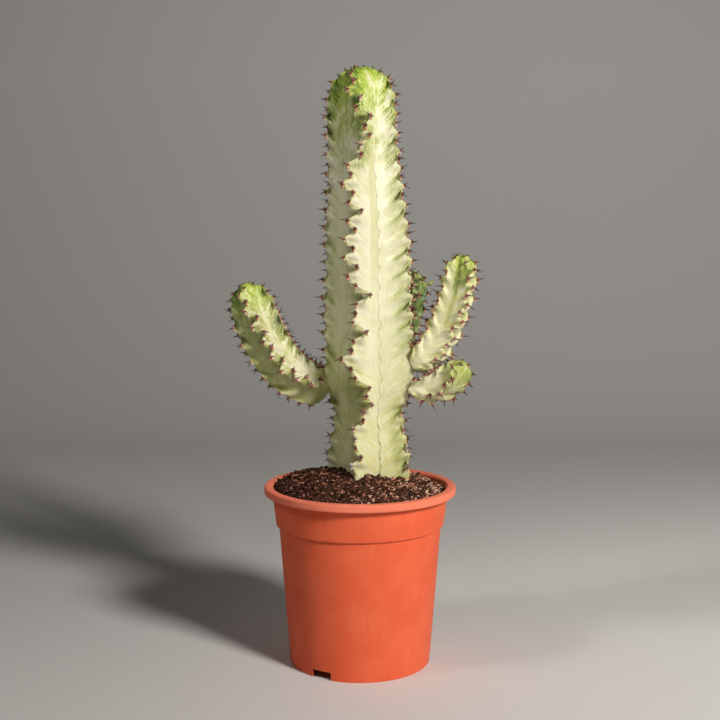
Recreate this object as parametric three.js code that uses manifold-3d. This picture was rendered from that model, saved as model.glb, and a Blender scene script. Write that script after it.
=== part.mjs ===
// A potted euphorbia: a four-ribbed, spiny main stem with four side arms, standing in bark soil in a
// plastic nursery pot. Millimetres, +Z up, seen from -Y. The origin is the middle of the pot's base.
import * as THREE from 'three';
import { mergeVertices } from 'three/addons/utils/BufferGeometryUtils.js';
import Module from 'manifold-3d';

const wasm = await Module();
wasm.setup();

// ---------------------------------------------------------------- driving dimensions

const GAP = 0.3; // clearance between pieces that touch
const SEAT_GAP = 1.2; // clearance of the seats cut to a stem's waved skin, which is uneven
const SAME_POINT = 0.01; // corners nearer than this are the same
const ROUND_SIDES = 40; // facets round the pot and the soil

const POT = {
  height: 177,
  rimRadius: 95, // a nineteen centimetre pot
  rimInner: 87,
  rimBand: 7.5, // height of the flange's edge
  rimRound: 0.9,
  rimSlope: 2, // height of the slope at the rim's inner edge
  collarTop: 87, // outside radius just under the flange
  collarFoot: 83.4, // outside radius at the collar's lower edge
  stepZ: 138, // where the collar steps in
  stepSlope: 1.5, // half the height of that step
  bodyTop: 80.6, // outside radius just under the step
  footRadius: 70,
  wall: 1.6,
  floorZ: 10, // underside of the raised ring of the floor
  padRadius: 28, // middle of the floor, which touches the ground
  padSlope: 2, // width of the step from there up to the raised ring
};

// first: azimuth of one slot, in degrees from +X.
const DRAIN_SLOT = { count: 3, first: -122, width: 21, height: 8, holeLength: 12 };

const SOIL = {
  edgeZ: 173.5, // mean level at the pot's wall
  mound: 19, // how much higher it is heaped in the middle
  tilt: 0.035, // how much it rises toward the left
  lump: 1.3, // size of the surface lumps
  ringRadii: [84.2, 76, 66, 56, 45, 30, 14],
  sideTop: 166, // height up to which its side follows the pot's wall
};

const SECTION_POWER = 2.6; // hollows the faces between the ribs; 2 would make them flat
const RIBS = 4;
const POINTS_PER_FACE = 4;

// How the ribs wave: each swelling of a face lies between two areoles and climbs from groove to rib.
const WAVE = {
  lean: 1.7, // areole spacings by which a swelling climbs
  fade: 1.4, // how fast it fades from the rib toward the groove
  onset: 10, // distance over which the waves set in above the plain foot
  fullFrom: 0.7, // share of the full radius below which the waves shrink toward the tip
  uneven: 0.35, // share by which the swellings vary in size
  unevenRate: 1.06, // radians from areole to areole
  drift: 0.4, // slow sideways wander, as a share of the wave
  driftRate: 0.62, // radians from areole to areole
  ribShift: 2.1, // radians from rib to rib
};

const SPINE = {
  length: 7,
  uneven: 0.3, // share by which the lengths vary
  radius: 0.85, // from its middle to the corners of its three-sided root
  inset: 1.7, // how far its root lies from the rib's edge
  spread: 0.62, // sideways share of its direction
  roll: 0.5, // how far a pair may be tipped
  clearance: 0.5,
  liftFrom: 0.8, // share of the full radius below which the spines turn upward, toward the tip
  leastRing: 4, // no spines where the tip is narrower than this
};

// profile: [rib radius, distance from the foot]. turn: azimuth of the front rib at the foot, half way
// and at the tip, in degrees toward the right from the side that faces the viewer.
const MAIN_STEM = {
  name: 'main_stem',
  axis: [[8, 0, 160], [8, 0, 280], [7.5, 0, 370], [6, 0, 440], [2.5, 0, 500], [1, 0, 550], [-1, 0, 583]],
  profile: [
    [38, 0], [42.5, 32], [41.5, 55], [37, 75], [36.5, 92], [42, 106], [47, 122], [46.5, 160],
    [46.5, 205], [44.5, 245], [41.5, 280], [37.5, 320], [35, 355], [34.5, 385], [33, 399],
    [27.5, 411], [20, 418], [10, 422.5], [0, 423.5],
  ],
  turn: [-16, -23, -9],
  areoleSpacing: 8.8,
  wave: 4.6,
  // How far the front rib leans to the right at each of its areoles, from the foot up.
  frontSway: [
    4, -4, 6, 0, -1, -3, 7, 8, 18, 14, 18, 4, 0, -10, 1, 3, 17, 3, 6, 7, 22, 7, -2, 7, -7, 2, -8, 3,
    -5, 9, -4, 0, -11, -2, -6, 8, 7, 16, 11, 16, 2, 6, -7, -1, -6,
  ],
  swayFrom: 4, // areole count of the first of these
  tooth: 2.4,
  plainFoot: 31,
  areolesFrom: 37,
};

const ARM = {
  sunk: 2.5, // how far an arm's foot reaches over the edge of the rib it springs from
  neck: 6.5, // its rib radius there
  nearFoot: [[0.74, 7.5], [0.93, 19]], // [share of the full radius, distance from the foot]
  widest: 0.55, // share of the length
  nearTip: [[0.97, 1], [0.84, 0.5], [0.5, 0.16], [0.2, 0.03], [0, 0]], // both in full radii, from the tip
  calm: 13, // distance over which the main stem's rib stops waving beside an arm
  areoleSpacing: 8.4,
  tooth: 2,
  plainFoot: 2,
  areolesFrom: 9,
};

// rib: which rib of the main stem the arm springs from, counted to the right from the front one.
// at: how far up the main stem. axis: the other three control points of its curve.
const ARMS = [
  {
    name: 'left_arm', rib: 3, at: 113,
    axis: [[-84, 14, 275], [-102, 10, 333], [-113, 10, 376]],
    radius: 23.5, turn: [11, 7, -16], wave: 3.8,
  },
  {
    name: 'right_arm', rib: 1, at: 137,
    axis: [[81, -12, 311], [96, -11, 358], [97, -21, 404]],
    radius: 20, turn: [28, 27, 30], wave: 3,
  },
  {
    name: 'lower_right_arm', rib: 1, at: 117,
    axis: [[64, -18, 270], [88, -27, 278], [101, -31, 302]],
    radius: 17, turn: [40, 10, -36], wave: 2.6,
  },
  {
    name: 'back_arm', rib: 2, at: 123,
    axis: [[34, 66, 290], [46, 77, 331], [57, 77, 387]],
    radius: 19, turn: [10, 12, 15], wave: 3.2,
  },
];

// ---------------------------------------------------------------- materials

const potPlastic = new THREE.MeshStandardMaterial({ color: 0xc8492c, roughness: 0.38, metalness: 0 });
const barkSoil = new THREE.MeshStandardMaterial({ color: 0x35211a, roughness: 0.95, metalness: 0 });
const palestSkin = new THREE.MeshStandardMaterial({ color: 0xd3d9a0, roughness: 0.5, metalness: 0 });
const greenSkin = new THREE.MeshStandardMaterial({ color: 0x9fb66a, roughness: 0.5, metalness: 0 });
const shadeSkin = new THREE.MeshStandardMaterial({ color: 0x4d6b35, roughness: 0.5, metalness: 0 });

// ---------------------------------------------------------------- solids

// Welds a geometry's corners and leaves out the flat triangles that welding makes at its poles.
function weld(geometry) {
  const bare = geometry.clone();
  bare.deleteAttribute('normal');
  bare.deleteAttribute('uv');
  const welded = mergeVertices(bare, 1e-3);
  const corners = welded.index.array;
  const kept = [];
  for (let i = 0; i < corners.length; i += 3) {
    const [a, b, c] = [corners[i], corners[i + 1], corners[i + 2]];
    if (a !== b && b !== c && c !== a) kept.push(a, b, c);
  }
  welded.setIndex(kept);
  return welded;
}

function toSolid(geometry) {
  const welded = weld(geometry);
  return new wasm.Manifold(new wasm.Mesh({
    numProp: 3,
    vertProperties: new Float32Array(welded.attributes.position.array),
    triVerts: new Uint32Array(welded.index.array),
  }));
}

function toGeometry(solid) {
  const mesh = solid.getMesh();
  const geometry = new THREE.BufferGeometry();
  geometry.setAttribute('position', new THREE.BufferAttribute(mesh.vertProperties, 3));
  geometry.setIndex(new THREE.BufferAttribute(mesh.triVerts, 1));
  geometry.computeVertexNormals();
  return geometry;
}

// A skin's closed surface as corners and faces, which can be changed one by one.
function openSkin(geometry) {
  const { attributes, index } = weld(geometry);
  const points = [];
  const faces = [];
  for (let i = 0; i < attributes.position.count; i += 1) {
    points.push(new THREE.Vector3().fromBufferAttribute(attributes.position, i));
  }
  for (let i = 0; i < index.count; i += 3) faces.push([...index.array.slice(i, i + 3)]);
  return { points, faces };
}

function closeSkin({ points, faces }) {
  return new THREE.BufferGeometry().setFromPoints(points).setIndex(faces.flat());
}

function faceTriangle(skin, face) {
  return new THREE.Triangle(...face.map((corner) => skin.points[corner]));
}

// A solid a little larger all round, used to cut a seat that keeps its distance. Each corner moves
// out along the mean of its faces' normals, weighted by their angles there.
function grownSolid(geometry, distance) {
  const skin = openSkin(geometry);
  const outward = skin.points.map(() => new THREE.Vector3());
  for (const face of skin.faces) {
    const normal = faceTriangle(skin, face).getNormal(new THREE.Vector3());
    face.forEach((corner, i) => {
      const [next, last] = [skin.points[face[(i + 1) % 3]], skin.points[face[(i + 2) % 3]]];
      const angle = next.clone().sub(skin.points[corner]).angleTo(last.clone().sub(skin.points[corner]));
      outward[corner].addScaledVector(normal, angle);
    });
  }
  skin.points.forEach((point, i) => point.addScaledVector(outward[i].normalize(), distance));
  return toSolid(closeSkin(skin));
}

// ---------------------------------------------------------------- pot and soil

function lathe(outline) {
  const points = outline.map(([radius, z]) => new THREE.Vector2(radius, z));
  return new THREE.LatheGeometry(points, ROUND_SIDES).rotateX(Math.PI / 2);
}

// Outside radius of the pot's tapered body at a height.
function bodyRadius(z) {
  return THREE.MathUtils.mapLinear(z, 0, POT.stepZ, POT.footRadius, POT.bodyTop);
}

// The pot's inner face from the floor's edge up to a height within the collar, as [radius, z].
function innerFace(topZ) {
  const floorTop = POT.floorZ + POT.wall;
  const [collarZ, rimZ] = [POT.stepZ + 2 * POT.stepSlope, POT.height - POT.rimSlope];
  const outside = THREE.MathUtils.mapLinear(topZ, collarZ, rimZ, POT.collarFoot, POT.rimInner);
  return [
    [bodyRadius(floorTop) - POT.wall, floorTop],
    [POT.bodyTop - POT.wall, POT.stepZ - POT.stepSlope],
    [POT.collarFoot - POT.wall, collarZ],
    [outside - POT.wall, topZ],
  ];
}

// The upper face of the step between the floor's raised ring and its middle, as [radius, z].
function padTop() {
  const inner = POT.padRadius - POT.wall;
  return [[inner + POT.padSlope, POT.floorZ + POT.wall], [inner, POT.wall]];
}

// Boxes that open the foot wall at each slot, and the floor just inside it.
function drainCuts() {
  const { count, first, width, height, holeLength } = DRAIN_SLOT;
  const cuts = [];
  for (let i = 0; i < count; i += 1) {
    const turn = THREE.MathUtils.degToRad(first + (360 * i) / count);
    const wallCut = new THREE.BoxGeometry(holeLength, width, 2 * height);
    wallCut.translate(POT.footRadius, 0, 0);
    const floorCut = new THREE.BoxGeometry(holeLength, width, 4 * POT.wall);
    floorCut.translate(POT.footRadius - holeLength, 0, POT.floorZ);
    cuts.push(toSolid(wallCut.rotateZ(turn)), toSolid(floorCut.rotateZ(turn)));
  }
  return cuts;
}

function makePot() {
  const { wall, floorZ, padRadius, footRadius, bodyTop, stepZ, stepSlope } = POT;
  const { height, rimRadius, rimInner, rimBand, rimRound, rimSlope, collarFoot, collarTop } = POT;
  const outline = [
    [0, 0], [padRadius, 0], [padRadius + POT.padSlope, floorZ], [bodyRadius(floorZ) - wall, floorZ],
    [footRadius - wall, 0], [footRadius, 0], [bodyTop, stepZ - stepSlope],
    [bodyTop + stepSlope / 2, stepZ], [collarFoot, stepZ + stepSlope], [collarTop, height - rimBand],
    [rimRadius - rimRound, height - rimBand], [rimRadius, height - rimBand + rimRound],
    [rimRadius, height - rimRound], [rimRadius - rimRound, height], [rimInner, height],
    ...innerFace(height - rimSlope).reverse(),
    ...padTop(), [0, wall],
  ];
  return drainCuts().reduce((pot, cut) => pot.subtract(cut), toSolid(lathe(outline)));
}

// Level of the soil: heaped round the stem, a little higher on the left, and lumpy.
function soilLevel(x, y) {
  const out = Math.hypot(x, y) / SOIL.ringRadii[0];
  const lumps = Math.sin(0.19 * x + 1) * Math.cos(0.23 * y) + 0.6 * Math.sin(0.41 * x - 0.37 * y);
  return SOIL.edgeZ + SOIL.mound * (1 - out ** 2) - SOIL.tilt * x + SOIL.lump * out * lumps;
}

function makeSoil(stemSeat) {
  const floorSide = padTop().reverse().map(([radius, z]) => [radius - GAP, z + GAP]);
  const wallSide = innerFace(SOIL.sideTop).map(([radius, z]) => [radius - GAP, z]);
  wallSide[0][1] += GAP;
  const outline = [
    [0, POT.wall + GAP], ...floorSide, ...wallSide,
    ...SOIL.ringRadii.map((radius) => [radius, POT.height]), [0, POT.height],
  ];
  const fill = lathe(outline);
  const { position } = fill.attributes;
  for (let i = 0; i < position.count; i += 1) {
    if (position.getZ(i) < POT.height) continue;
    position.setZ(i, soilLevel(position.getX(i), position.getY(i)));
  }
  return toSolid(fill).subtract(stemSeat);
}

// ---------------------------------------------------------------- ribbed stems

// An arm's profile: a narrow neck, a long nearly even body and a rounded tip.
function armProfile(full, length) {
  const nearFoot = ARM.nearFoot.map(([share, along]) => [share * full, along]);
  const nearTip = ARM.nearTip.map(([share, fromTip]) => [share * full, length - fromTip * full]);
  return [[ARM.neck, 0], ...nearFoot, [full, ARM.widest * length], ...nearTip];
}

// Adds to a stem its axis curve and its rings, one ring to every half areole spacing.
function layOut(stem, axis, profile) {
  const outline = new THREE.SplineCurve(profile.map(([radius, along]) => new THREE.Vector2(radius, along)));
  const rows = Math.round(outline.getLength() / (stem.areoleSpacing / 2));
  const fullRadius = Math.max(...profile.map(([radius]) => radius));
  return { ...stem, axis, rings: outline.getSpacedPoints(rows), length: axis.getLength(), fullRadius };
}

function layOutMainStem() {
  const axis = new THREE.CatmullRomCurve3(MAIN_STEM.axis.map((point) => new THREE.Vector3(...point)));
  return { ...layOut(MAIN_STEM, axis, MAIN_STEM.profile), arms: ARMS };
}

// An arm starts a little inside the edge of the main stem's rib.
function layOutArm(arm, mainStem) {
  const { centre, out } = ribFrame(mainStem, arm.at, arm.rib);
  const nearest = mainStem.rings.reduce((a, b) => (Math.abs(b.y - arm.at) < Math.abs(a.y - arm.at) ? b : a));
  const start = centre.addScaledVector(out, nearest.x - ARM.sunk);
  const controls = arm.axis.map((point) => new THREE.Vector3(...point));
  const axis = new THREE.CubicBezierCurve3(start, ...controls);
  return { ...layOut({ ...ARM, ...arm }, axis, armProfile(arm.radius, axis.getLength())), arms: [] };
}

// Directions at a ring: up the stem, outward along a rib and sideways across it.
function ribFrame(stem, along, rib) {
  const share = THREE.MathUtils.clamp(along / stem.length, 0, 1);
  const up = stem.axis.getTangentAt(share);
  const towardViewer = new THREE.Vector3(0, -1, 0).projectOnPlane(up).normalize();
  const half = share < 0.5 ? 0 : 1;
  const turned = THREE.MathUtils.lerp(stem.turn[half], stem.turn[half + 1], 2 * share - half);
  const turn = THREE.MathUtils.degToRad(turned + (360 * rib) / RIBS);
  const out = towardViewer.applyAxisAngle(up, turn);
  const side = new THREE.Vector3().crossVectors(up, out);
  return { centre: stem.axis.getPointAt(share), up, out, side };
}

// Areole count up a rib at a row; whole numbers are areoles, and neighbouring ribs are staggered.
function areoleCount(row, rib) {
  return (row + (rib % 2)) / 2;
}

// How freely a rib waves at a ring: not at all in the plain foot or where an arm springs from it, and
// less round the narrow tip.
function waviness(stem, ring, rib) {
  const pastFoot = THREE.MathUtils.smoothstep(ring.y, stem.plainFoot, stem.plainFoot + WAVE.onset);
  const beside = stem.arms.filter((arm) => arm.rib === rib % RIBS);
  const calm = beside.reduce((rest, arm) => rest * (1 - Math.exp(-(((ring.y - arm.at) / ARM.calm) ** 2))), 1);
  return calm * pastFoot * Math.min(1, ring.x / (WAVE.fullFrom * stem.fullRadius));
}

// How far a rib leans sideways at an areole count, which may lie between two areoles.
function sway(stem, count, rib) {
  if (stem.frontSway && rib % RIBS === 0) {
    const last = stem.frontSway.length - 1;
    const step = THREE.MathUtils.clamp(count - stem.swayFrom, 0, last);
    const i = Math.min(Math.floor(step), last - 1);
    const blend = THREE.MathUtils.smoothstep(step, i, i + 1);
    return THREE.MathUtils.lerp(stem.frontSway[i], stem.frontSway[i + 1], blend);
  }
  const shift = WAVE.ribShift * (rib % RIBS);
  const swell = 1 + WAVE.uneven * Math.sin(WAVE.unevenRate * count + shift);
  const drift = WAVE.drift * Math.sin(WAVE.driftRate * count + shift);
  return stem.wave * (swell * Math.cos(Math.PI * count) + drift);
}

// A point on the skin. quarter runs from 0 to 4 round the stem: whole numbers are rib edges.
function skinPoint(stem, row, quarter) {
  const ring = stem.rings[row];
  const rib = Math.round(quarter);
  const across = quarter - rib; // -0.5 to 0.5, groove to groove
  const inward = 2 * Math.abs(across);
  const angle = Math.abs(across) * (Math.PI / 2);
  const wave = (1 - inward) ** WAVE.fade * sway(stem, areoleCount(row, rib) + WAVE.lean * inward, rib);
  const dip = stem.tooth * (1 - inward) ** 2 * Math.sin(Math.PI * areoleCount(row, rib)) ** 2;
  const free = waviness(stem, ring, rib);
  const outward = ring.x * Math.cos(angle) ** SECTION_POWER - free * dip;
  const sideways = Math.sign(across) * ring.x * Math.sin(angle) ** SECTION_POWER + free * wave;
  const { centre, out, side } = ribFrame(stem, ring.y, rib);
  return centre.addScaledVector(out, outward).addScaledVector(side, sideways);
}

// Splits the quads of a turned shape alike on both sides of every rib, so that the two faces of a
// waved rib never cross.
function mirroredFaces(points, around) {
  const faces = [];
  for (let i = 0; i < around; i += 1) {
    const leaning = i % POINTS_PER_FACE < POINTS_PER_FACE / 2;
    for (let j = 0; j < points - 1; j += 1) {
      const [a, b] = [i * points + j, (i + 1) * points + j];
      if (leaning) faces.push(a, b, a + 1, b + 1, a + 1, b);
      else faces.push(a, b, b + 1, a, b + 1, a + 1);
    }
  }
  return faces;
}

// The bare ribbed body: a turned shape whose rings are pulled out into ribs and waved.
function ribbedBody(stem) {
  const around = RIBS * POINTS_PER_FACE;
  const foot = new THREE.Vector2(0, 0);
  const body = new THREE.LatheGeometry([foot, ...stem.rings], around);
  body.setIndex(mirroredFaces(stem.rings.length + 1, around));
  const { position, uv } = body.attributes;
  const start = stem.axis.getPointAt(0);
  for (let i = 0; i < position.count; i += 1) {
    const row = Math.round(uv.getY(i) * stem.rings.length) - 1;
    const quarter = (Math.round(uv.getX(i) * around) % around) / POINTS_PER_FACE;
    const point = row < 0 ? start : skinPoint(stem, row, quarter);
    position.setXYZ(i, point.x, point.y, point.z);
  }
  return body;
}

// ---------------------------------------------------------------- spines

const jitter = (size) => size * (THREE.MathUtils.seededRandom() - 0.5);

// The faces at a corner, each listed from that corner on, the one most square to a direction first.
function facesToward(skin, corner, direction) {
  const facing = (face) => faceTriangle(skin, face).getNormal(new THREE.Vector3()).dot(direction);
  const touching = skin.faces.slice(0, skin.bare).filter((face) => face.includes(corner));
  return touching.sort((a, b) => facing(b) - facing(a));
}

// Whether a straight line that starts on the skin runs into the skin again before its end.
function runsInto(skin, from, to) {
  const ray = new THREE.Ray(from, to.clone().sub(from).normalize());
  const hit = new THREE.Vector3();
  return skin.faces.some((face) => {
    const { a, b, c } = faceTriangle(skin, face);
    if (!ray.intersectTriangle(a, b, c, false, hit)) return false;
    const reach = hit.distanceTo(from);
    return reach > SAME_POINT && reach < from.distanceTo(to) + SPINE.clearance;
  });
}

// A slim cone round the place of a spine, to test that the spine has room there.
function spineRoom(root, tip) {
  const axis = tip.clone().sub(root);
  const length = axis.length() + 2 * SPINE.clearance;
  const cone = new THREE.ConeGeometry(SPINE.radius + 2 * SPINE.clearance, length, 6);
  cone.translate(0, length / 2, 0).rotateX(Math.PI / 2).lookAt(axis);
  return toSolid(cone.translate(root.x, root.y, root.z));
}

// The root triangle and the point of a spine that would stand on a face near its first corner.
function spineOn(skin, face, direction, length) {
  const { a: areole, b, c } = faceTriangle(skin, face);
  const inward = b.clone().add(c).multiplyScalar(0.5).sub(areole).normalize();
  const middle = areole.clone().addScaledVector(inward, SPINE.inset);
  const root = [areole, b, c].map((corner) => {
    const toCorner = corner.clone().sub(middle).normalize();
    return middle.clone().addScaledVector(toCorner, SPINE.radius);
  });
  return { middle, root, tip: middle.clone().addScaledVector(direction, length) };
}

// Draws a spine out of one of the faces at an areole, if it has room on any of them.
function raiseSpine(skin, corner, direction, neighbours) {
  const length = SPINE.length * (1 + jitter(SPINE.uneven));
  for (const host of facesToward(skin, corner, direction)) {
    const start = host.indexOf(corner);
    const face = [0, 1, 2].map((step) => host[(start + step) % 3]);
    const { middle, root, tip } = spineOn(skin, face, direction, length);
    const clear = !root.some((point) => runsInto(skin, point, tip));
    const room = spineRoom(middle, tip);
    if (clear && neighbours.every((piece) => room.intersect(piece).isEmpty())) {
      const first = skin.points.push(...root, tip) - 4;
      skin.faces.splice(skin.faces.indexOf(host), 1);
      skin.bare -= 1;
      for (let i = 0; i < 3; i += 1) {
        const next = (i + 1) % 3;
        skin.faces.push([face[i], face[next], first + next], [face[i], first + next, first + i]);
        skin.faces.push([first + i, first + next, first + 3]);
      }
      return;
    }
  }
}

// Raises the pair of spines of one areole, which point outward to both sides of the rib, and upward
// where the rib bends over the stem's tip.
function raisePair(skin, stem, row, rib, neighbours) {
  const ring = stem.rings[row];
  const { up, out, side } = ribFrame(stem, ring.y, rib);
  const areole = skinPoint(stem, row, rib);
  const corner = skin.points.findIndex((point) => point.distanceTo(areole) < SAME_POINT);
  const lift = 1 - Math.min(1, ring.x / (SPINE.liftFrom * stem.fullRadius));
  const roll = jitter(SPINE.roll);
  for (const hand of [-1, 1]) {
    const direction = out.clone().multiplyScalar(1 - lift).addScaledVector(up, lift + hand * roll);
    direction.addScaledVector(side, hand * SPINE.spread).normalize();
    raiseSpine(skin, corner, direction, neighbours);
  }
}

// A stem's body with every spine that stays clear of the neighbouring pieces.
function spinyBody(stem, body, neighbours) {
  const skin = openSkin(body);
  skin.bare = skin.faces.length; // how many of its first faces carry no spine
  for (let rib = 0; rib < RIBS; rib += 1) {
    for (let row = rib % 2; row < stem.rings.length; row += 2) {
      const { x: radius, y: along } = stem.rings[row];
      if (along > stem.areolesFrom && radius > SPINE.leastRing) raisePair(skin, stem, row, rib, neighbours);
    }
  }
  return toSolid(closeSkin(skin));
}

// ---------------------------------------------------------------- assembly

const mainStem = layOutMainStem();
const stems = [mainStem, ...ARMS.map((arm) => layOutArm(arm, mainStem))];
const bodies = stems.map((stem) => ribbedBody(stem));
const seats = bodies.map((body) => grownSolid(body, SEAT_GAP));

// Cuts an arm's foot to the rib it springs from and to the arms before it, and drops loose scraps.
function cutToSeats(solid, i) {
  const pieces = seats.slice(0, i).reduce((arm, seat) => arm.subtract(seat), solid).decompose();
  return pieces.reduce((a, b) => (b.volume() > a.volume() ? b : a));
}

const plant = bodies.map((body, i) => cutToSeats(toSolid(body), i));
stems.forEach((stem, i) => {
  const neighbours = plant.filter((piece, other) => other !== i);
  plant[i] = cutToSeats(spinyBody(stem, bodies[i], neighbours), i);
});

function addMesh(group, name, solid, material) {
  const mesh = new THREE.Mesh(toGeometry(solid), material.clone());
  mesh.name = name;
  group.add(mesh);
}

const potted = new THREE.Group();
addMesh(potted, 'pot', makePot(), potPlastic);
addMesh(potted, 'soil', makeSoil(seats[0]), barkSoil);
const skins = [palestSkin, greenSkin, greenSkin, greenSkin, shadeSkin];
stems.forEach((stem, i) => addMesh(potted, stem.name, plant[i], skins[i]));

export default potted;
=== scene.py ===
# The looks of a potted euphorbia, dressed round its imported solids.
# Blender's lengths are metres, +Z up, seen from -Y; the dictionaries here are in millimetres.
import math
from random import Random
import bmesh
import bpy
import numpy as np
from mathutils import Matrix, Vector, noise


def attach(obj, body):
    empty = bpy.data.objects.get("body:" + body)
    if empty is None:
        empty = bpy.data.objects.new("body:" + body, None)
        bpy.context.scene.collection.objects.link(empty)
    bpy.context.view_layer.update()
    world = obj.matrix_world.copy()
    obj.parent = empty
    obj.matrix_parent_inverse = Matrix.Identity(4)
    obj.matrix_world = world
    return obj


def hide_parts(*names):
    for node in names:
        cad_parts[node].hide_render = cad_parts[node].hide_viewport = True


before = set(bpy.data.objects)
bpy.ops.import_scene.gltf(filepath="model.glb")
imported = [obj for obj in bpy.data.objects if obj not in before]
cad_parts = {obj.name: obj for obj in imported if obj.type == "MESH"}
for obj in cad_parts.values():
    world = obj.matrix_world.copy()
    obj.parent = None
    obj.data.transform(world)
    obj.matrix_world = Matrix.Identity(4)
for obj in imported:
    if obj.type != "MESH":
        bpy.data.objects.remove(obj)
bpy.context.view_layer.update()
mm = 0.001
weld = 1e-6  # metres within which points are joined
tiny, tiniest = 1e-9, 1e-12  # keep divisors above zero
print("frame loaded:", ", ".join(sorted(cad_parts)))


# shader maths: an expression on sockets adds its Math nodes
class Socket:
    def __init__(self, tree, end=None):
        self.tree = tree
        self.end = end

    # any node: its settings first, then the values or links of its sockets
    def node(self, kind, settings, sockets, output=0):
        new = self.tree.nodes.new(kind)
        for name, value in settings.items():
            if name == "stops":
                ramp = new.color_ramp
                for place, colour in value[1:-1]:
                    ramp.elements.new(place).color = (*colour, 1)
                for end in (0, -1):
                    ramp.elements[end].position = value[end][0]
                    ramp.elements[end].color = (*value[end][1], 1)
            else:
                setattr(new, name, value)
        for name, value in sockets.items():
            if isinstance(value, Socket):
                self.tree.links.new(value.end, new.inputs[name])
            else:
                new.inputs[name].default_value = value
        return Socket(self.tree, new.outputs[output] if new.outputs else None)

    def maths(self, operation, *values):
        return self.node("ShaderNodeMath", {"operation": operation}, dict(enumerate(values)))

    def __add__(self, other):
        return self.maths("ADD", self, other)

    def __radd__(self, other):
        return self.maths("ADD", other, self)

    def __sub__(self, other):
        return self.maths("SUBTRACT", self, other)

    def __rsub__(self, other):
        return self.maths("SUBTRACT", other, self)

    def __mul__(self, other):
        return self.maths("MULTIPLY", self, other)

    def __rmul__(self, other):
        return self.maths("MULTIPLY", other, self)

    def clamped(self):
        return self.maths("MINIMUM", self.maths("MAXIMUM", self, 0.0), 1.0)

    # 0 below low, 1 above high, smooth between
    def between(self, low, high):
        sockets = {"Value": self, "From Min": low, "From Max": high}
        return self.node("ShaderNodeMapRange", {"interpolation_type": "SMOOTHSTEP"}, sockets)

    # output 2 is a number, output 1 a vector
    def attribute(self, name, output=2):
        return self.node("ShaderNodeAttribute", {"attribute_name": name}, {}, output)

    # the object's own coordinates, in metres
    def coords(self):
        return self.node("ShaderNodeTexCoord", {}, {}, "Object")

    def noise(self, vector, scale, detail, roughness=0.5, distortion=0.0):
        sockets = {"Vector": vector, "Scale": scale, "Detail": detail, "Roughness": roughness}
        return self.node("ShaderNodeTexNoise", {}, {**sockets, "Distortion": distortion})

    # noise on stretched coordinates
    def pattern(self, vector, factors, *grain):
        stretched = self.node("ShaderNodeVectorMath", {"operation": "MULTIPLY"}, {0: vector, 1: factors})
        return self.noise(stretched, *grain)

    def mixed(self, under, over, amount):
        under, over = (v if isinstance(v, Socket) else (*v, 1) for v in (under, over))
        return self.node("ShaderNodeMix", {"data_type": "RGBA"}, {0: amount, 6: under, 7: over}, 2)

    def ramp(self, stops, place):
        return self.node("ShaderNodeValToRGB", {"stops": stops}, {"Fac": place})

    def bump(self, height, strength, distance):
        sockets = {"Height": height, "Strength": strength, "Distance": distance * mm}
        return self.node("ShaderNodeBump", {}, sockets)


# a material whose paint function adds nodes to a sheet and gives the sockets of its surface
def newMaterial(name, paint):
    material = bpy.data.materials.new(name)
    material.use_nodes = True
    material.node_tree.nodes.clear()
    sheet = Socket(material.node_tree)
    surface = sheet.node("ShaderNodeBsdfPrincipled", {}, paint(sheet))
    sheet.node("ShaderNodeOutputMaterial", {}, {"Surface": surface})
    return material


# sockets for a surface whose roughness varies, and its relief too where the look has a bump
def roughened(sheet, look, colour, varied):
    sockets = {"Base Color": colour, "Roughness": look["rough"] + look["rougher"] * varied}
    if "bump" in look:
        sockets["Normal"] = sheet.bump(varied, *look["bump"])
    return {**sockets, **look.get("sockets", {})}


# many small shapes, made batch by batch, because operators slow down in a large bmesh
def gathered(items, layers, shape, batch=30):
    whole = bmesh.new()
    holder = bpy.data.meshes.new("batch")
    for start in range(0, len(items), batch):
        bm = bmesh.new()
        made = [bm.verts.layers.float.new(name) for name in layers]
        for item in items[start:start + batch]:
            shape(bm, item, *made)
        bmesh.ops.recalc_face_normals(bm, faces=bm.faces)
        bm.to_mesh(holder)
        bm.free()
        whole.from_mesh(holder)
    bpy.data.meshes.remove(holder)
    return whole


def added(name, data):
    made = bpy.data.objects.new(name, data)
    bpy.context.scene.collection.objects.link(made)
    return made


def meshFrom(bm, name, material, smooth):
    mesh = bpy.data.meshes.new(name)
    for face in bm.faces:
        face.smooth = smooth
    bm.to_mesh(mesh)
    bm.free()
    mesh.materials.append(material)
    return mesh


# a piece of the part: an object that rides on its one body
def objectFrom(bm, name, material, smooth=True):
    made = added(name, meshFrom(bm, name, material, smooth))
    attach(made, "root")
    print(name, len(made.data.polygons), "faces")
    return made


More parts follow.
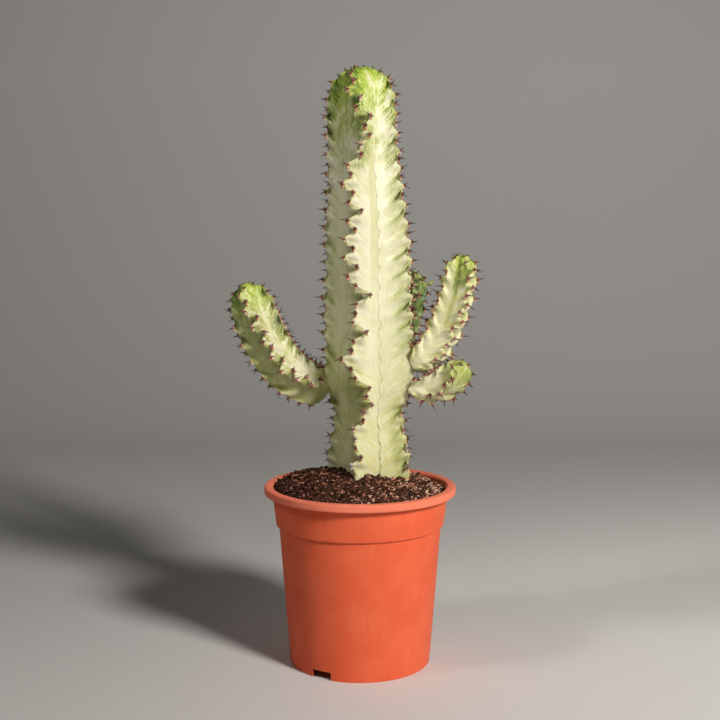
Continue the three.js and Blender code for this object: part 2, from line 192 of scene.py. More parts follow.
# the stems' shape, from the same values as their solids
ribs = {
    "count": 4, "hollow": 2.6, "lean": 1.7, "fade": 1.4, "onset": 10, "fullFrom": 0.7, "uneven": 0.35,
    "unevenRate": 1.06, "drift": 0.4, "driftRate": 0.62, "shift": 2.1, "calm": 13, "edgeRadius": 1.3,
    "edgeShare": 0.12,
}
mainStem = {
    "name": "mainStem", "node": "main_stem",
    "axis": [[8, 0, 160], [8, 0, 280], [7.5, 0, 370], [6, 0, 440], [2.5, 0, 500], [1, 0, 550], [-1, 0, 583]],
    "profile": [
        [38, 0], [42.5, 32], [41.5, 55], [37, 75], [36.5, 92], [42, 106], [47, 122], [46.5, 160],
        [46.5, 205], [44.5, 245], [41.5, 280], [37.5, 320], [35, 355], [34.5, 385], [33, 399],
        [27.5, 411], [20, 418], [10, 422.5], [0, 423.5],
    ],
    "frontSway": [
        4, -4, 6, 0, -1, -3, 7, 8, 18, 14, 18, 4, 0, -10, 1, 3, 17, 3, 6, 7, 22, 7, -2, 7, -7, 2, -8, 3,
        -5, 9, -4, 0, -11, -2, -6, 8, 7, 16, 11, 16, 2, 6, -7, -1, -6,
    ],
    "swayFrom": 4, "turn": [-16, -23, -9], "areoleSpacing": 8.8, "wave": 4.6, "tooth": 2.4,
    "plainFoot": 31, "areolesFrom": 37, "foldLean": 3.0,
}
armShape = {
    "sunk": 2.5, "neck": 6.5, "nearFoot": [[0.74, 7.5], [0.93, 19]], "widest": 0.55,
    "nearTip": [[0.97, 1], [0.84, 0.5], [0.5, 0.16], [0.2, 0.03], [0, 0]],
    "areoleSpacing": 8.4, "tooth": 2, "plainFoot": 2, "areolesFrom": 9, "foldLean": 1.9,
}
arms = [
    {"name": "leftArm", "node": "left_arm", "rib": 3, "at": 113, "radius": 23.5, "wave": 3.8,
     "axis": [[-84, 14, 275], [-102, 10, 333], [-113, 10, 376]], "turn": [11, 7, -16]},
    {"name": "rightArm", "node": "right_arm", "rib": 1, "at": 137, "radius": 20, "wave": 3,
     "axis": [[81, -12, 311], [96, -11, 358], [97, -21, 404]], "turn": [28, 27, 30]},
    {"name": "lowerRightArm", "node": "lower_right_arm", "rib": 1, "at": 117, "radius": 17, "wave": 2.6,
     "axis": [[64, -18, 270], [88, -27, 278], [101, -31, 302]], "turn": [40, 10, -36]},
    {"name": "backArm", "node": "back_arm", "rib": 2, "at": 123, "radius": 19, "wave": 3.2,
     "axis": [[34, 66, 290], [46, 77, 331], [57, 77, 387]], "turn": [10, 12, 15]},
]


# a smooth curve through points; the centripetal kind doesn't swing wide on uneven spacing
def curveThrough(points, centripetal, samples=60):
    points = np.array(points, float)
    first, last = points[0], points[-1]
    if centripetal:
        first, last = 2 * points[0] - points[1], 2 * points[-1] - points[-2]
    full = np.vstack([first, points, last])
    t = np.linspace(0, 1, samples, endpoint=False)[:, None]
    pieces = []
    for a, b, c, d in zip(full, full[1:], full[2:], full[3:]):
        steps = ((a, b), (b, c), (c, d))
        gaps = [np.linalg.norm(end - start) ** 0.5 if centripetal else 1 for start, end in steps]
        leaving = ((b - a) / gaps[0] - (c - a) / (gaps[0] + gaps[1]) + (c - b) / gaps[1]) * gaps[1]
        arriving = ((c - b) / gaps[1] - (d - b) / (gaps[1] + gaps[2]) + (d - c) / gaps[2]) * gaps[1]
        bend = 3 * (c - b) - 2 * leaving - arriving
        pieces.append(b + leaving * t + bend * t**2 + (2 * (b - c) + leaving + arriving) * t**3)
    return np.vstack([*pieces, points[-1:]])


def bezierThrough(start, controls, samples=400):
    t = np.linspace(0, 1, samples)[:, None]
    a, b, c, d = np.array([start, *controls], float)
    return a * (1 - t) ** 3 + 3 * b * t * (1 - t) ** 2 + 3 * c * t**2 * (1 - t) + d * t**3


def runOf(points):
    steps = np.linalg.norm(np.diff(points, axis=0), axis=1)
    return np.concatenate([[0], np.cumsum(steps)])


def pointsAt(points, shares):
    run = runOf(points)
    return np.stack([np.interp(shares * run[-1], run, column) for column in points.T], -1)


def layOutStem(stem, path, profile):
    outline = curveThrough(profile, False)
    rows = round(runOf(outline)[-1] / (stem["areoleSpacing"] / 2))
    fullRadius = max(point[0] for point in profile)
    laidOut = {"path": path, "outline": outline, "rows": rows, "length": runOf(path)[-1]}
    return {**stem, **laidOut, "fullRadius": fullRadius}


def layOutArm(arm, trunk):
    centre, _, out, _ = framesAt(trunk, np.array([arm["at"]], float), np.array([arm["rib"]]))
    rings = pointsAt(trunk["outline"], np.arange(trunk["rows"] + 1) / trunk["rows"])
    radius = rings[np.argmin(np.abs(rings[:, 1] - arm["at"])), 0]
    path = bezierThrough(centre[0] + out[0] * (radius - armShape["sunk"]), arm["axis"])
    full, length = arm["radius"], runOf(path)[-1]
    profile = [[armShape["neck"], 0], *[[share * full, along] for share, along in armShape["nearFoot"]]]
    profile += [[full, armShape["widest"] * length]]
    profile += [[share * full, length - fromTip * full] for share, fromTip in armShape["nearTip"]]
    return layOutStem({**armShape, **arm, "arms": []}, path, profile)


# middle of a stem at a distance along it, with the directions up, out along a rib and sideways;
# its direction is taken over a hundredth of its length both ways
def framesAt(stem, along, rib):
    share = np.clip(along / stem["length"], 0, 1)
    ahead, behind = np.clip(share + 0.01, 0, 1), np.clip(share - 0.01, 0, 1)
    up = pointsAt(stem["path"], ahead) - pointsAt(stem["path"], behind)
    up /= np.linalg.norm(up, axis=-1, keepdims=True)
    toViewer = np.array([0, -1, 0]) + up * up[:, 1:2]  # -Y, made square to the stem
    toViewer /= np.linalg.norm(toViewer, axis=-1, keepdims=True)
    turn = np.radians(np.interp(share, [0, 0.5, 1], stem["turn"]) + 90 * rib)[:, None]
    out = toViewer * np.cos(turn) + np.cross(up, toViewer) * np.sin(turn)
    return pointsAt(stem["path"], share), up, out, np.cross(up, out)


def smooth(value, low, high):
    t = np.clip((value - low) / (high - low), 0, 1)
    return t * t * (3 - 2 * t)


# how freely a rib waves: not in the plain foot or beside an arm, and less round the tip
def waviness(stem, radius, along, rib):
    free = smooth(along, stem["plainFoot"], stem["plainFoot"] + ribs["onset"])
    free = free * np.minimum(1, radius / (ribs["fullFrom"] * stem["fullRadius"]))
    for arm in stem["arms"]:
        calm = 1 - np.exp(-(((along - arm["at"]) / ribs["calm"]) ** 2))
        free = np.where(rib % 4 == arm["rib"], free * calm, free)
    return free


# how far a rib leans sideways at an areole count, which may lie between two areoles
def swayAt(stem, count, rib):
    shift = ribs["shift"] * (rib % 4)
    swell = 1 + ribs["uneven"] * np.sin(ribs["unevenRate"] * count + shift)
    drift = ribs["drift"] * np.sin(ribs["driftRate"] * count + shift)
    sway = stem["wave"] * (swell * np.cos(np.pi * count) + drift)
    if "frontSway" in stem:
        leans = np.array(stem["frontSway"], float)
        step = np.clip(count - stem["swayFrom"], 0, len(leans) - 1)
        i = np.minimum(np.floor(step), len(leans) - 2).astype(int)
        measured = leans[i] + (leans[i + 1] - leans[i]) * smooth(step, i, i + 1)
        sway = np.where(rib % 4 == 0, measured, sway)
    return sway


# the skin bulges between sharp diagonal creases, in step with the way the rib leans; "level" is the
# bulge at which the skin is neither raised nor sunk
pleats = {
    "depth": 2.5, "level": 0.62, "sharpness": 0.5, "from": -0.2, "to": 1.0, "skew": 1.2, "calmEdge": 0.3,
    "bow": 1.25,
}


# points on a stem's skin before it is pleated; quarter runs from 0 to 4 round it, whole at the edges
def plainSkin(stem, row, quarter):
    radius, along = pointsAt(stem["outline"], row / stem["rows"]).T
    rib = np.floor(quarter + 0.5)
    across = quarter - rib
    inward = 2 * np.abs(across)
    angle = np.abs(across) * np.pi / 2
    count = (row + rib % 2) / 2
    climb = count + ribs["lean"] * inward
    wave = (1 - inward) ** ribs["fade"] * swayAt(stem, climb, rib)
    dip = stem["tooth"] * (1 - inward) ** 2 * np.sin(np.pi * count) ** 2
    free = waviness(stem, radius, along, rib)
    nose = np.minimum(ribs["edgeRadius"], ribs["edgeShare"] * radius) + tiny
    depth = radius * (1 - np.cos(angle) ** ribs["hollow"])
    blunt = nose * np.sqrt(1 - (1 - np.minimum(depth / nose, 1)) ** 2) * (1 - inward**2)
    outward = radius * np.cos(angle) ** ribs["hollow"] - free * dip
    sideways = np.sign(across) * (radius * np.sin(angle) ** ribs["hollow"] + blunt) + free * wave
    centre, _, out, side = framesAt(stem, along, rib)
    place = centre + out * outward[:, None] + side * sideways[:, None]
    fold = count + stem["foldLean"] * inward ** pleats["bow"]
    besides = (swayAt(stem, fold - 1, rib) + swayAt(stem, fold + 1, rib)) / 2
    swing = swayAt(stem, fold, rib) - besides
    swing = np.clip(np.sign(across) * swing / (2 * stem["wave"]), -1, 1)
    bulge = (0.5 + 0.5 * swing) ** pleats["sharpness"]
    middle = np.sin(np.pi * smooth(inward, pleats["from"], pleats["to"]) ** pleats["skew"])
    swollen = free * middle * smooth(inward, 0, pleats["calmEdge"]) * radius / trunkRadius
    # crease marks the hollows between the bulges, which the skin's colour darkens as painted shade
    return place, {
        "along": along, "inward": inward, "fold": fold, "rib": rib, "centre": centre,
        "bulge": bulge, "lift": swollen * (bulge - pleats["level"]), "crease": swollen * (1 - bulge),
    }


# the same points pleated: moved along the normal, which is taken over a small step both ways
def skinAt(stem, row, quarter, step=0.02):
    place, skin = plainSkin(stem, row, quarter)
    up = np.where(row < 1, step, -step)
    aside = np.where(quarter % 1 < 0.5, step, -step)
    along = (plainSkin(stem, row + up, quarter)[0] - place) * np.sign(up)[:, None]
    around = (plainSkin(stem, row, quarter + aside)[0] - place) * np.sign(aside)[:, None]
    normal = np.cross(around, along)
    normal /= np.linalg.norm(normal, axis=1, keepdims=True) + tiniest
    normal *= np.sign(np.sum(normal * (place - skin["centre"]), axis=1))[:, None]
    return place + normal * (pleats["depth"] * skin["lift"])[:, None], skin


trunk = layOutStem(mainStem, curveThrough(mainStem["axis"], True), mainStem["profile"])
trunk["arms"], trunkRadius = arms, trunk["fullRadius"]
stems = [trunk, *[layOutArm(arm, trunk) for arm in arms]]


# how the skin is marked: "share" is how much is green at the places "along" a stem, on each of its four
# faces, the one right of the front rib first. "across" adds to that at five places over a face, and
# "acrossTop" does near the tip. "marbling" is contrast, "line" the dark line in a groove, "strip" the pale
# band beside it, "yellow" a tint and "fresh" the brightness of young skin. "stripe" is what a band along
# the last face adds at the foot, middle and tip, and its width. Pairs of lists are places and values.
skinLooks = {
    "mainStem": {
        "along": [0, 0.13, 0.26, 0.4, 0.6, 0.76, 0.9, 1],
        "share": [[0.6, 0.54, 0.44, 0.36, 0.32, 0.42, 0.62, 0.85],
                  *[[0.5, 0.48, 0.42, 0.36, 0.34, 0.42, 0.6, 0.85]] * 2,
                  # the last face, the left one turned from the main light, has less green than the others
                  # over its middle: painted light that lifts it out of its shade
                  [0.08, 0.26, 0.44, 0.18, 0.2, 0.04, 0.42, 0.74]],
        "across": [[-0.14, -0.2, -0.02, 0.12, 0.1], [0.1, 0.1, 0.2, 0.1, 0.1], [0.1, 0.2, 0.3, 0.2, 0.1],
                   [0.24, 0.26, 0.3, 0.3, 0.28]],
        "acrossTop": [[0.16, 0.22, -0.02, -0.14, 0.3], [0.3, 0.2, 0, 0.2, 0.2], [0.1, 0.2, 0.3, 0.2, 0.1],
                      [0.28, 0.32, 0.34, 0.32, 0.3]],
        "marbling": [0.55, 1, 1, 0.55], "line": [1, 0.5, 0.2, 0.1],
        "lineFade": [[0, 0.13, 0.28, 0.6, 0.77, 0.8], [1, 1, 0.5, 0.45, 0.6, 0]],
        "yellow": [[0, 0.15, 0.3, 0.5, 1], [1.3, 1, 0.5, 0.2, 0.1]],
        "strip": [[0.3, 0.5, 0.62, 0.76, 0.86], [0, 0.45, 1, 1, 0]],
    },
    "leftArm": {
        "along": [0, 0.35, 0.6, 0.85, 1],
        # the first face has less green at the foot, where the main light only grazes it: painted light
        "share": [[0.24, 0.36, 0.52, 0.6, 0.88], *[[0.36, 0.42, 0.5, 0.6, 0.9]] * 3],
        "across": [[0.02, -0.06, 0.02, 0.32, 0.44], [0.3, 0.2, 0.2, 0.2, 0.2], [0.2, 0.2, 0.25, 0.2, 0.2],
                   [0.3, 0.3, 0.3, 0.3, 0.25]],
        "marbling": [1.6, 1, 1, 0.4], "line": [0.1, 0.3, 0.3, 0.1], "yellow": [[0, 1], [0.9, 0.3]],
    },
    "rightArm": {
        "along": [0, 0.5, 0.75, 1], "share": [[0.36, 0.38, 0.44, 0.66]] * 4,
        "across": [[0, 0.1, 0.1, 0.1, 0.1], [0.1, 0.2, 0.2, 0.2, 0.1], [0.2, 0.3, 0.4, 0.3, 0.2],
                   [0.14, 0.02, -0.06, 0.05, 0.15]],
        "acrossTop": [[0, 0.1, 0.1, 0.1, 0.1], [0.1, 0.2, 0.2, 0.2, 0.1], [0.3, 0.4, 0.5, 0.4, 0.3],
                      [0.05, -0.05, 0.2, 0.6, 0.5]],
        "marbling": [1, 1, 1, 0.9], "line": [0.3, 0.3, 0.3, 0], "stripe": [-0.3, 0.3, 0.6, 0.065],
        "yellow": [[0, 1], [1.1, 0.8]],
    },
    "lowerRightArm": {
        "along": [0, 0.5, 0.8, 1], "share": [[0.42, 0.46, 0.56, 0.7], *[[0.3, 0.4, 0.74, 0.95]] * 3],
        "across": [[0.12, 0.12, 0.15, 0.12, 0.1], *[[0.2] * 5] * 2, [0.1, 0, 0.04, 0.06, 0.1]],
        "marbling": [1, 1, 1, 0.8], "line": [0.2, 0.2, 0.2, 0], "yellow": [[0, 1], [0.5, 0.9]],
        "fresh": 0.55,
    },
    # the back arm is deep green all over: partly its own plainer colour, partly painted shade for an arm
    # that stands in the main stem's shadow
    "backArm": {
        "along": [0, 1], "share": [[1.2, 1.2]] * 4, "across": [[0] * 5] * 4, "marbling": [1] * 4,
        "line": [0] * 4, "fresh": 0.25,
    },
}
# what holds for every stem that doesn't name its own
anyStem = {
    "lineFade": [[0.6, 0.8], [1, 0]], "yellow": [[0, 1], [0.3, 0.1]], "strip": [[0, 1], [0, 0]], "fresh": 1,
}
# where the marks change along a stem and across a face; "young" counts from the tip, in radii
marks = {
    "across": [0, 0.25, 0.5, 0.75, 1], "topFrom": 0.68, "topTo": 0.84, "topMarbling": 1.35,
    "stripeAlong": [0, 0.5, 0.85], "stripeAt": 0.52, "stripeEdge": 4, "youngFrom": 0.15, "youngTo": 1.8,
    "faceWidth": 0.8, "facesApart": 60,
}
stemGrid = {"stepsPerFace": 14, "stepsPerRow": 4, "crowding": 1.25}


# number of the face that a place lies on; the sliver puts a rib's edge on the face after it
def faceOf(quarter, sliver=1e-6):
    return np.floor(quarter + sliver) % ribs["count"]


# the marks at places on a stem
def skinMarks(stem, along, quarter):
    look = {**anyStem, **skinLooks[stem["name"]]}
    share, line, marbling = np.zeros(len(along)), np.zeros(len(along)), np.zeros(len(along))
    reach, part, face = along / stem["length"], quarter % 1, faceOf(quarter)
    top = smooth(reach, marks["topFrom"], marks["topTo"])
    for number in range(ribs["count"]):
        low, high = (np.interp(part, marks["across"], look.get(name, look["across"])[number])
                     for name in ("across", "acrossTop"))
        here, contrast = face == number, look["marbling"][number]
        green = np.interp(reach, look["along"], look["share"][number])
        share += here * (green + low + (high - low) * top)
        line += here * look["line"][number] * np.interp(reach, *look["lineFade"])
        marbling += here * (contrast + (marks["topMarbling"] - contrast) * top)
    if "stripe" in look:
        *strengths, width = look["stripe"]
        off = (part - marks["stripeAt"]) / width
        stripe = np.interp(reach, marks["stripeAlong"], strengths) * np.exp(-(off ** marks["stripeEdge"]))
        share += (face == ribs["count"] - 1) * stripe
    youngTo = marks["youngTo"] * stem["fullRadius"]
    old = smooth(stem["length"] - along, marks["youngFrom"] * stem["fullRadius"], youngTo)
    return {
        "green": share, "line": line, "marbling": marbling, "yellow": np.interp(reach, *look["yellow"]),
        "strip": (face == 0) * np.interp(reach, *look["strip"]), "young": look["fresh"] * (1 - old),
    }


# one stem's skin; streaks follow the folds and veins the groove, and their third coordinate sets the
# ribs or faces apart, so that no two have the same marks
def dressStem(stem, material):
    halves = 2 * ribs["count"]
    bm = bmesh.new()
    across, up = halves * stemGrid["stepsPerFace"], stem["rows"] * stemGrid["stepsPerRow"]
    bmesh.ops.create_grid(bm, x_segments=across, y_segments=up, size=0.5)
    grid = np.array([v.co[:2] for v in bm.verts]) + 0.5
    half, part = np.divmod(np.clip(grid[:, 0] * halves, 0, halves - tiny), 1)
    rising = half % 2 == 0
    fromRib = np.where(rising, part, 1 - part) ** stemGrid["crowding"] / 2
    quarter = half // 2 + np.where(rising, fromRib, 1 - fromRib)
    row = grid[:, 1] * stem["rows"]
    place, skin = skinAt(stem, row, quarter)
    width = stem["fullRadius"] * marks["faceWidth"]
    values = {
        "edge": 1 - skin["inward"], "bulge": skin["bulge"], "crease": skin["crease"],
        "fromGroove": (quarter % 1 - 0.5) * 2 * width, **skinMarks(stem, skin["along"], quarter),
    }
    layers = {name: bm.verts.layers.float.new(name) for name in values}
    streak = bm.verts.layers.float_vector.new("streak")
    vein = bm.verts.layers.float_vector.new("vein")
    climbed = skin["fold"] * stem["areoleSpacing"]
    aside = (quarter - skin["rib"]) * 2 * width
    apart = np.stack([skin["rib"] % ribs["count"], faceOf(quarter)]) * marks["facesApart"]
    for i, v in enumerate(bm.verts):
        v.co = place[i] * mm
        for name, layer in layers.items():
            v[layer] = values[name][i]
        v[streak] = (aside[i], climbed[i], apart[0][i])
        v[vein] = (values["fromGroove"][i], skin["along"][i], apart[1][i])
    bmesh.ops.remove_doubles(bm, verts=bm.verts, dist=weld)
    foot = [edge for edge in bm.edges if edge.is_boundary]
    bmesh.ops.holes_fill(bm, edges=foot, sides=0)
    bmesh.ops.recalc_face_normals(bm, faces=bm.faces)
    made = objectFrom(bm, stem["name"], material)
    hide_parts(stem["node"])


skinColours = {
    "cream": (0.735, 0.71, 0.53), "paleGreen": (0.50, 0.51, 0.21), "green": (0.20, 0.27, 0.07),
    "darkGreen": (0.035, 0.085, 0.02), "tipGreen": (0.42, 0.54, 0.012), "freshGreen": (0.16, 0.30, 0.012),
    "yellow": (0.60, 0.56, 0.16),
}
# each pattern has its stretch, then scale, detail, roughness and distortion; streaks and veins are in mm
skinPatterns = {
    "folds": ((0.05, 0.52, 1), 1.0, 4, 0.62, 0.3), "fibres": ((0.5, 0.07, 1), 1.0, 4, 0.62, 0.5),
    "clouds": ((1, 1, 0.6), 75.0, 3, 0.5), "mottle": ((1, 1, 0.6), 420.0, 4, 0.65),
    "beads": ((0.0, 0.2, 1), 1.0, 3, 0.6), "wander": ((0.0, 0.09, 1), 1.0, 3, 0.6),
    "crinkle": ((0.25, 0.8, 1), 1.0, 5, 0.65),
}
# "greens" has how much less share the wash, the deep green and the darkest have, and how sharp they are;
# the other pairs are where a mask begins and is full
skinPaint = {
    "nearGroove": (0.6, 0.97), "fibreContrast": 0.6, "fibreBase": 0.2, "foldContrast": 1.8,
    "cloudContrast": 1.1, "mottleContrast": 0.6, "shadeInCreases": 0.45,
    "greens": ((0.0, 1.9), (0.3, 2.4), (0.58, 3.0)), "wash": 0.9, "deep": 0.8, "deepYoung": 0.2,
    "darkest": 0.8,
    "yellowEdge": (0.7, 1.0), "yellowClouds": (0.35, 0.6), "edgeYellow": 0.6, "yellowFolds": (0.62, 0.34),
    "foldYellow": 0.55, "creaseShadeMask": (0.5, 0.9), "creaseShadeFolds": (0.35, 0.6), "creaseShadeLeast": 0.12,
    "creaseShadeMore": 0.25,
}
# the line in a groove and the strip beside it, across the face in mm
grooveLine = {
    "wander": 3.5, "aside": 1.4, "bulgePush": 2.0, "beads": 2.1, "gaps": 0.35, "fall": 0.9, "over": 0.9,
    "stripSlope": 0.9, "stripFrom": 6.2, "stripMiddle": 0.5, "stripEnd": 1.5, "stripOver": 0.55,
}
skinRelief = {
    "crinkle": 0.5, "folds": 0.6, "mottle": 0.4, "line": 0.5, "bump": (0.8, 0.8), "rough": 0.46,
    "smoother": 0.14,
}
skinFlesh = {
    "IOR": 1.42, "Subsurface Weight": 0.1, "Subsurface Radius": (1.0, 0.8, 0.3), "Subsurface Scale": 0.002,
}


def paintSkin(sheet):
    streak, vein, coords = sheet.attribute("streak", 1), sheet.attribute("vein", 1), sheet.coords()
    folds, crinkle = (sheet.pattern(streak, *skinPatterns[name]) for name in ("folds", "crinkle"))
    fibres, beads, wander = (
        sheet.pattern(vein, *skinPatterns[name]) for name in ("fibres", "beads", "wander"))
    clouds, mottle = (sheet.pattern(coords, *skinPatterns[name]) for name in ("clouds", "mottle"))
    edge, green, young, crease, fromGroove, marbling, bulge = (sheet.attribute(name) for name in (
        "edge", "green", "young", "crease", "fromGroove", "marbling", "bulge"))
    paint, hues = skinPaint, skinColours

    # the grain follows the folds on a rib and the groove beside it; what is green has more share than grain
    nearGroove = (1 - edge).between(*paint["nearGroove"])
    along = fibres * paint["fibreContrast"] + paint["fibreBase"]
    grain = folds * (1 - nearGroove) + along * nearGroove
    grain = (grain - 0.5) * paint["foldContrast"] + (clouds - 0.5) * paint["cloudContrast"]
    grain = grain + (mottle - 0.5) * paint["mottleContrast"]
    # the creases lower the grain, so they take more green: painted shade
    grain = grain * marbling + 0.5 - crease * paint["shadeInCreases"]
    wash, deep, darkest = (
        ((green - less - grain) * sharp + 0.5).clamped() for less, sharp in paint["greens"])
    paleGreen = sheet.mixed(hues["paleGreen"], hues["tipGreen"], young)
    deepGreen = sheet.mixed(hues["green"], hues["freshGreen"], young)
    colour = sheet.mixed(hues["cream"], paleGreen, wash * paint["wash"])
    colour = sheet.mixed(colour, deepGreen, deep * (paint["deep"] - young * paint["deepYoung"]))
    colour = sheet.mixed(colour, hues["darkGreen"], darkest * paint["darkest"])

    yellowEdge = edge.between(*paint["yellowEdge"]) * clouds.between(*paint["yellowClouds"])
    yellowFolds = sheet.attribute("yellow") * folds.between(*paint["yellowFolds"])
    yellowed = (yellowEdge * paint["edgeYellow"] + yellowFolds * paint["foldYellow"]).clamped()
    colour = sheet.mixed(colour, hues["yellow"], yellowed)
    # the deepest creases are mixed with green as well: painted shade in the creases
    creaseShading = paint["creaseShadeLeast"] + folds.between(*paint["creaseShadeFolds"]) * paint["creaseShadeMore"]
    colour = sheet.mixed(colour, hues["green"], crease.between(*paint["creaseShadeMask"]) * creaseShading)

    line = grooveLine
    pastLine = fromGroove + (wander - 0.5) * line["wander"] - line["aside"] + bulge * line["bulgePush"]
    strip = (fromGroove * line["stripSlope"] + line["stripFrom"]).clamped()
    strip = strip * (line["stripMiddle"] - pastLine * line["stripEnd"]).clamped() * sheet.attribute("strip")
    colour = sheet.mixed(colour, hues["paleGreen"], strip * line["stripOver"])
    beaded = beads * line["beads"] - line["gaps"] - sheet.maths("ABSOLUTE", pastLine) * line["fall"]
    dark = beaded.clamped() * sheet.attribute("line")
    colour = sheet.mixed(colour, hues["darkGreen"], dark * line["over"])

    look = skinRelief
    relief = (crinkle * look["crinkle"] + folds * look["folds"]) * (1 - nearGroove)
    relief = relief + mottle * look["mottle"] * nearGroove - dark * look["line"]
    return {
        "Base Color": colour, "Roughness": look["rough"] - look["smoother"] * mottle,
        "Normal": sheet.bump(relief, *look["bump"]), **skinFlesh,
    }


marbledSkin = newMaterial("marbledSkin", paintSkin)
for stem in stems:
    dressStem(stem, marbledSkin)
print("stems dressed")


spines = {
    "length": 7.6, "unevenLength": 0.35, "radius": 0.85, "tip": 0.06, "spread": 0.8, "roll": 1.3,
    "liftFrom": 0.8, "apart": 0.6, "sunk": 0.6, "leastRing": 2.2, "sides": 6, "oldBelow": 95, "armGap": 7,
    "youngWithin": 12, "youngShorter": 0.5,
}
shields = {
    "width": 1.75, "height": 2.3, "thickness": 1.1, "patchWidth": 1.5, "patchHeight": 1.7, "below": 2.5,
    "patchSunk": 0.35, "patchThinner": 0.3, "youngWithin": 15, "youngSmaller": 0.45, "least": 0.9,
    "uneven": 0.25, "segments": (8, 5),
}
leaflets = {
    "length": 3.8, "width": 1.4, "thickness": 0.45, "toTip": 15, "stray": (74, 77, 374), "strayLength": 9,
    "least": 0.6, "uneven": 0.6, "rise": 0.6, "unevenRise": 0.8, "out": 0.4, "segments": (8, 6),
}
seeded = Random(7)


# every place on a stem's ribs that carries spines
def areolesOf(stem):
    found = []
    for rib in range(ribs["count"]):
        rows = np.arange(rib % 2, stem["rows"] + 1, 2).astype(float)
        quarter = np.full(len(rows), float(rib))
        place, skin = skinAt(stem, rows, quarter)
        radius = pointsAt(stem["outline"], rows / stem["rows"])[:, 0]
        _, up, out, side = framesAt(stem, skin["along"], quarter)
        vectors = {"place": place, "up": up, "out": out, "side": side}
        for i, along in enumerate(skin["along"]):
            besideArm = any(
                arm["rib"] == rib and abs(along - arm["at"]) < spines["armGap"] for arm in stem["arms"])
            if along < stem["areolesFrom"] or radius[i] < spines["leastRing"] or besideArm:
                continue
            found.append({
                **{name: Vector(values[i]) for name, values in vectors.items()},
                "lift": 1 - min(1, radius[i] / (spines["liftFrom"] * stem["fullRadius"])),
                "toTip": stem["length"] - along,
                "old": max(0, 1 - along / spines["oldBelow"]) if stem is trunk else 0,
            })
    return found


# places a shape of unit size: its axes are turned to the given directions and scaled
def placed(centre, axes, sizes):
    turn = Matrix([(axis * size) for axis, size in zip(axes, sizes)]).transposed().to_4x4()
    return Matrix.Translation(centre * mm) @ turn @ Matrix.Scale(mm, 4)


def ball(bm, segments, place):
    around, over = segments
    return bmesh.ops.create_uvsphere(bm, u_segments=around, v_segments=over, radius=1, matrix=place)


def spinePair(bm, areole, reach, tint, old):
    young = max(0, 1 - areole["toTip"] / spines["youngWithin"])
    roll = spines["roll"] * (seeded.random() - 0.5)
    lift, colour = areole["lift"], seeded.random()
    for hand in (-1, 1):
        length = spines["length"] * (1 + spines["unevenLength"] * (seeded.random() - 0.5))
        length *= 1 - spines["youngShorter"] * young
        pointing = areole["out"] * (1 - lift) + areole["up"] * (lift + hand * roll)
        pointing = (pointing + areole["side"] * hand * spines["spread"]).normalized()
        start = areole["place"] + areole["side"] * hand * spines["apart"] - pointing * spines["sunk"]
        turn = Vector((0, 0, 1)).rotation_difference(pointing).to_matrix().to_4x4()
        middle = Matrix.Translation((start + pointing * length / 2) * mm) @ turn
        made = bmesh.ops.create_cone(
            bm, cap_ends=True, segments=spines["sides"], radius1=spines["radius"] * mm,
            radius2=spines["tip"] * mm, depth=length * mm, matrix=middle)
        for v in made["verts"]:
            v[reach] = ((v.co / mm) - start).dot(pointing) / length
            v[tint] = colour
            v[old] = areole["old"]


# the horny pad that carries the spines, and the tan patch below it
def shieldPads(bm, areole, tint, below, old):
    colour = seeded.random()
    young = max(0, 1 - areole["toTip"] / shields["youngWithin"])
    uneven = shields["least"] + shields["uneven"] * seeded.random()
    size = (1 - shields["youngSmaller"] * young) * uneven
    out = (areole["out"] * (1 - areole["lift"]) + areole["up"] * areole["lift"]).normalized()
    down = areole["side"].cross(out)
    down *= -1 if down.dot(areole["up"]) > 0 else 1
    for patch in (0, 1):
        width, height = ("patchWidth", "patchHeight") if patch else ("width", "height")
        centre = areole["place"] + down * shields["below"] * size * patch
        centre -= out * shields["patchSunk"] * patch
        thickness = shields["thickness"] * size * (1 - shields["patchThinner"] * patch)
        sizes = (shields[width] * size, shields[height] * size, thickness)
        made = ball(bm, shields["segments"], placed(centre, (areole["side"], down, out), sizes))
        for v in made["verts"]:
            v[tint] = colour
            v[below] = patch
            v[old] = areole["old"]


# a small leaf beside an areole; one that has a leafSize keeps it
def leaflet(bm, areole):
    size = areole.get("leafSize", leaflets["least"] + leaflets["uneven"] * seeded.random())
    rise = leaflets["rise"] + leaflets["unevenRise"] * seeded.random()
    pointing = (areole["out"] + areole["up"] * rise).normalized()
    flat = areole["side"].cross(pointing).normalized()
    centre = areole["place"] + pointing * leaflets["length"] * leaflets["out"] * size
    sizes = (leaflets["width"] * size / 2, leaflets["thickness"] * size, leaflets["length"] * size / 2)
    ball(bm, leaflets["segments"], placed(centre, (areole["side"], flat, pointing), sizes))


